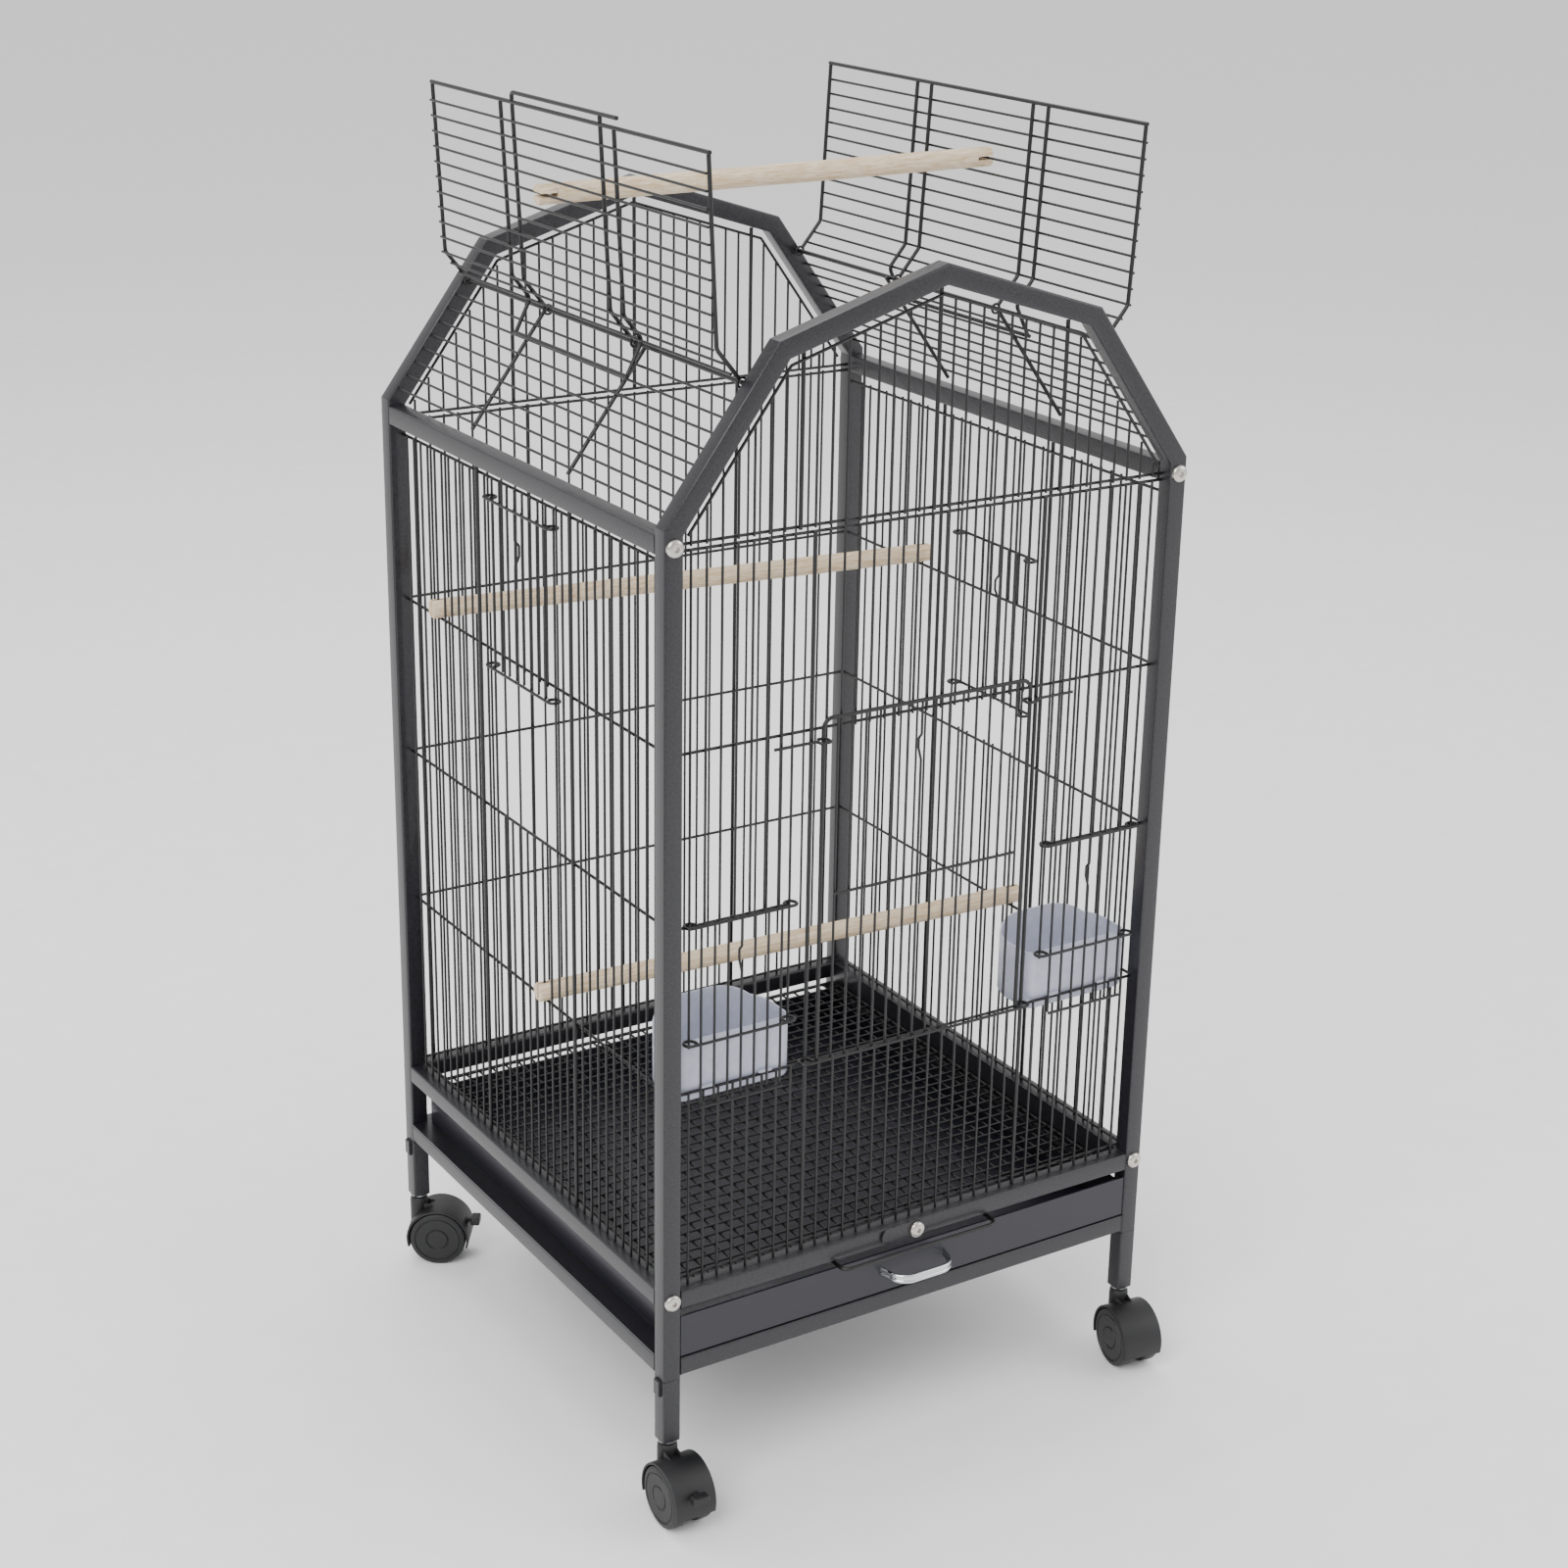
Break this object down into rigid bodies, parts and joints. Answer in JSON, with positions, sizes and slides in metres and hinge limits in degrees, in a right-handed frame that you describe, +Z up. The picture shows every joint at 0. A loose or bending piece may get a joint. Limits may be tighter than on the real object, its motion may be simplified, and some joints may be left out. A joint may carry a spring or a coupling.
{
  "type": "bird cage on stand",
  "caption": "Black wire bird cage with an open play-top roof, wooden perches, feeding cups and a slide-out tray, on a low stand with castors.",
  "frame": {"origin": "on the floor under the middle of the cage", "axes": "+Z up, -Y to the front with the main door and the tray, +X to the right seen from the front"},
  "size_m": [0.4991, 0.5517, 1.0461],
  "materials": {
    "frame_powder": "hammered black powder coat, semi gloss",
    "wire_black": "black powder coat, satin",
    "bolt_nickel": "nickel plated",
    "tray_satin": "dark satin paint",
    "caster_plastic": "moulded black nylon, fine grain",
    "perch_wood": "turned pale beech, unvarnished",
    "cup_plastic": "pale blue-grey translucent polystyrene",
    "handle_chrome": "bright chrome",
    "stem_steel": "zinc plated"
  },
  "bodies": {
    "cage": {"front_frame": "frame_powder", "back_frame": "frame_powder", "left_side_rails": "frame_powder", "right_side_rails": "frame_powder", "tray_runners": "frame_powder", "grate_ledges": "frame_powder", "legs": "frame_powder", "leg_plugs": "caster_plastic", "leg_clips": "frame_powder", "frame_bolts": "bolt_nickel", "latch_bolt": "bolt_nickel", "front_wall": "wire_black", "back_wall": "wire_black", "left_wall": "wire_black", "right_wall": "wire_black", "front_gable_mesh": "wire_black", "back_gable_mesh": "wire_black", "main_door_keepers": "wire_black", "left_roof_panel": "wire_black", "right_roof_panel": "wire_black", "left_hinge_rod": "wire_black", "right_hinge_rod": "wire_black", "upper_perch": "perch_wood", "lower_perch": "perch_wood", "caster_stems": "stem_steel"},
    "main_door_body": {"main_door": "wire_black"},
    "left_cup_door_body": {"left_cup_door": "wire_black"},
    "right_cup_door_body": {"right_cup_door": "wire_black"},
    "left_side_door_body": {"left_side_door": "wire_black"},
    "right_side_door_body": {"right_side_door": "wire_black"},
    "left_roof_door_body": {"left_roof_door": "wire_black"},
    "right_roof_door_body": {"right_roof_door": "wire_black"},
    "top_perch_body": {"top_perch": "perch_wood"},
    "left_food_cup_body": {"left_food_cup": "cup_plastic"},
    "right_food_cup_body": {"right_food_cup": "cup_plastic"},
    "tray_body": {"tray": "tray_satin", "tray_handle": "handle_chrome"},
    "floor_grate_body": {"floor_grate": "wire_black", "grate_pull": "wire_black"},
    "latch_plate_body": {"latch_plate": "frame_powder"},
    "front_left_caster_body": {"front_left_caster_hood": "caster_plastic", "front_left_caster_axle": "stem_steel"},
    "front_left_wheels_body": {"front_left_caster_wheels": "caster_plastic"},
    "front_left_brake_body": {"front_left_brake_lever": "caster_plastic"},
    "front_right_caster_body": {"front_right_caster_hood": "caster_plastic", "front_right_caster_axle": "stem_steel"},
    "front_right_wheels_body": {"front_right_caster_wheels": "caster_plastic"},
    "back_left_caster_body": {"back_left_caster_hood": "caster_plastic", "back_left_caster_axle": "stem_steel"},
    "back_left_wheels_body": {"back_left_caster_wheels": "caster_plastic"},
    "back_left_brake_body": {"back_left_brake_lever": "caster_plastic"},
    "back_right_caster_body": {"back_right_caster_hood": "caster_plastic", "back_right_caster_axle": "stem_steel"},
    "back_right_wheels_body": {"back_right_caster_wheels": "caster_plastic"}
  },
  "joints": [
    {"name": "main_door_slide", "type": "slide", "parent": "cage", "child": "main_door_body", "axis": [0, 0, 1], "range_m": [0, 0.25]},
    {"name": "left_cup_door_slide", "type": "slide", "parent": "cage", "child": "left_cup_door_body", "axis": [0, 0, 1], "range_m": [0, 0.088]},
    {"name": "right_cup_door_slide", "type": "slide", "parent": "cage", "child": "right_cup_door_body", "axis": [0, 0, 1], "range_m": [0, 0.088]},
    {"name": "left_side_door_slide", "type": "slide", "parent": "cage", "child": "left_side_door_body", "axis": [0, 0, 1], "range_m": [-0.121, 0.004]},
    {"name": "right_side_door_slide", "type": "slide", "parent": "cage", "child": "right_side_door_body", "axis": [0, 0, 1], "range_m": [-0.035, 0.086]},
    {"name": "top_perch_lift", "type": "slide", "parent": "cage", "child": "top_perch_body", "axis": [0, 0, 1], "range_m": [0, 1.1]},
    {"name": "left_roof_door_hinge", "type": "hinge", "parent": "cage", "child": "left_roof_door_body", "pos_m": [-0.15737, 0, 0.88005], "axis": [0, 1, 0], "range_deg": [0, 76]},
    {"name": "right_roof_door_hinge", "type": "hinge", "parent": "cage", "child": "right_roof_door_body", "pos_m": [0.15737, 0, 0.88005], "axis": [0, -1, 0], "range_deg": [0, 76]},
    {"name": "left_food_cup_lift", "type": "slide", "parent": "cage", "child": "left_food_cup_body", "axis": [0, 0, 1], "range_m": [0, 0.06]},
    {"name": "right_food_cup_lift", "type": "slide", "parent": "cage", "child": "right_food_cup_body", "axis": [0, 0, 1], "range_m": [0, 0.06]},
    {"name": "tray_slide", "type": "slide", "parent": "cage", "child": "tray_body", "axis": [0, -1, 0], "range_m": [0, 0.4]},
    {"name": "grate_slide", "type": "slide", "parent": "cage", "child": "floor_grate_body", "axis": [0, -1, 0], "range_m": [0, 0.42]},
    {"name": "latch_swing", "type": "hinge", "parent": "cage", "child": "latch_plate_body", "pos_m": [0, -0.2333, 0.186], "axis": [0, -1, 0], "range_deg": [0, 180]},
    {"name": "front_left_swivel", "type": "hinge", "parent": "cage", "child": "front_left_caster_body", "pos_m": [-0.2215, -0.2245, 0.05], "axis": [0, 0, 1], "continuous": true},
    {"name": "front_left_wheel_spin", "type": "hinge", "parent": "front_left_caster_body", "child": "front_left_wheels_body", "pos_m": [-0.2215, -0.2425, 0.025], "axis": [1, 0, 0], "continuous": true},
    {"name": "front_left_brake", "type": "hinge", "parent": "front_left_caster_body", "child": "front_left_brake_body", "pos_m": [-0.2215, -0.2645, 0.037], "axis": [1, 0, 0], "range_deg": [-10, 10]},
    {"name": "front_right_swivel", "type": "hinge", "parent": "cage", "child": "front_right_caster_body", "pos_m": [0.2215, -0.2245, 0.05], "axis": [0, 0, 1], "continuous": true},
    {"name": "front_right_wheel_spin", "type": "hinge", "parent": "front_right_caster_body", "child": "front_right_wheels_body", "pos_m": [0.21899, -0.24233, 0.025], "axis": [0.9903, -0.1392, 0], "continuous": true},
    {"name": "back_left_swivel", "type": "hinge", "parent": "cage", "child": "back_left_caster_body", "pos_m": [-0.2215, 0.2245, 0.05], "axis": [0, 0, 1], "continuous": true},
    {"name": "back_left_wheel_spin", "type": "hinge", "parent": "back_left_caster_body", "child": "back_left_wheels_body", "pos_m": [-0.20658, 0.21443, 0.025], "axis": [0.5592, 0.829, 0], "continuous": true},
    {"name": "back_left_brake", "type": "hinge", "parent": "back_left_caster_body", "child": "back_left_brake_body", "pos_m": [-0.18834, 0.20213, 0.037], "axis": [0.5592, 0.829, 0], "range_deg": [-10, 10]},
    {"name": "back_right_swivel", "type": "hinge", "parent": "cage", "child": "back_right_caster_body", "pos_m": [0.2215, 0.2245, 0.05], "axis": [0, 0, 1], "continuous": true},
    {"name": "back_right_wheel_spin", "type": "hinge", "parent": "back_right_caster_body", "child": "back_right_wheels_body", "pos_m": [0.2305, 0.24009, 0.025], "axis": [-0.866, 0.5, 0], "continuous": true}
  ],
  "couplings": [
    {"joint": "left_roof_door_hinge", "follows": "top_perch_lift", "rad_per_m": 1.2058},
    {"joint": "right_roof_door_hinge", "follows": "top_perch_lift", "rad_per_m": 1.2058}
  ]
}
